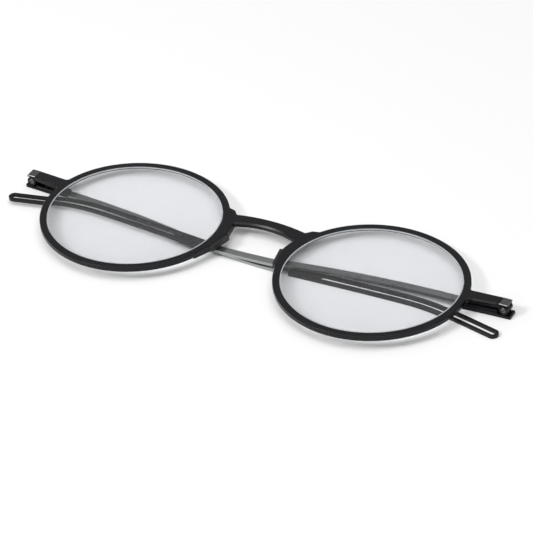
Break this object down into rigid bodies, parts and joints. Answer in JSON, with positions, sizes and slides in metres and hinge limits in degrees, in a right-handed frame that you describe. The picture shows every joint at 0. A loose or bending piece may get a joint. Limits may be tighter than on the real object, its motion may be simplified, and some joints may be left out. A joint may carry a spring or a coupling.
{
  "type": "folding reading glasses",
  "caption": "Round folding reading glasses lying folded, front face up: moulded front with clear lenses, and two flat temples on small screw hinges.",
  "frame": {"origin": "under the middle of the bridge, on the surface that the folded glasses lie on", "axes": "+X along the front towards the wearer's left, +Y towards the brow, +Z out of the front face, away from the wearer"},
  "size_m": [0.138, 0.0458, 0.0042],
  "materials": {
    "front_plastic": "matt black moulded plastic, fine grain",
    "lens": "clear, with a faint cool coating",
    "pad": "soft black",
    "hinge_metal": "dark plated, satin",
    "screw": "bright turned",
    "washer": "plain",
    "rivet": "plain",
    "arm_metal": "light grey satin",
    "tip": "matt black"
  },
  "bodies": {
    "front": {"front_frame": "front_plastic", "lens_right": "lens", "lens_left": "lens", "nose_pad_right": "pad", "nose_pad_left": "pad", "front_hinge_right": "hinge_metal", "front_hinge_left": "hinge_metal", "hinge_screw_right": "screw", "hinge_screw_left": "screw", "hinge_washers_right": "washer", "hinge_washers_left": "washer", "front_rivets_right": "rivet", "front_rivets_left": "rivet"},
    "temple_right": {"temple_hinge_right": "hinge_metal", "temple_rivets_right": "rivet", "temple_arm_right": "arm_metal", "temple_tip_right": "tip"},
    "temple_left": {"temple_hinge_left": "hinge_metal", "temple_rivets_left": "rivet", "temple_arm_left": "arm_metal", "temple_tip_left": "tip"}
  },
  "joints": [
    {"name": "temple_right_fold", "type": "hinge", "parent": "front", "child": "temple_right", "pos_m": [-0.0669, 0.0053, 0.0021], "axis": [0, 1, 0], "range_deg": [0, 90]},
    {"name": "temple_left_fold", "type": "hinge", "parent": "front", "child": "temple_left", "pos_m": [0.0669, 0.0053, 0.0021], "axis": [0, -1, 0], "range_deg": [0, 90]}
  ]
}
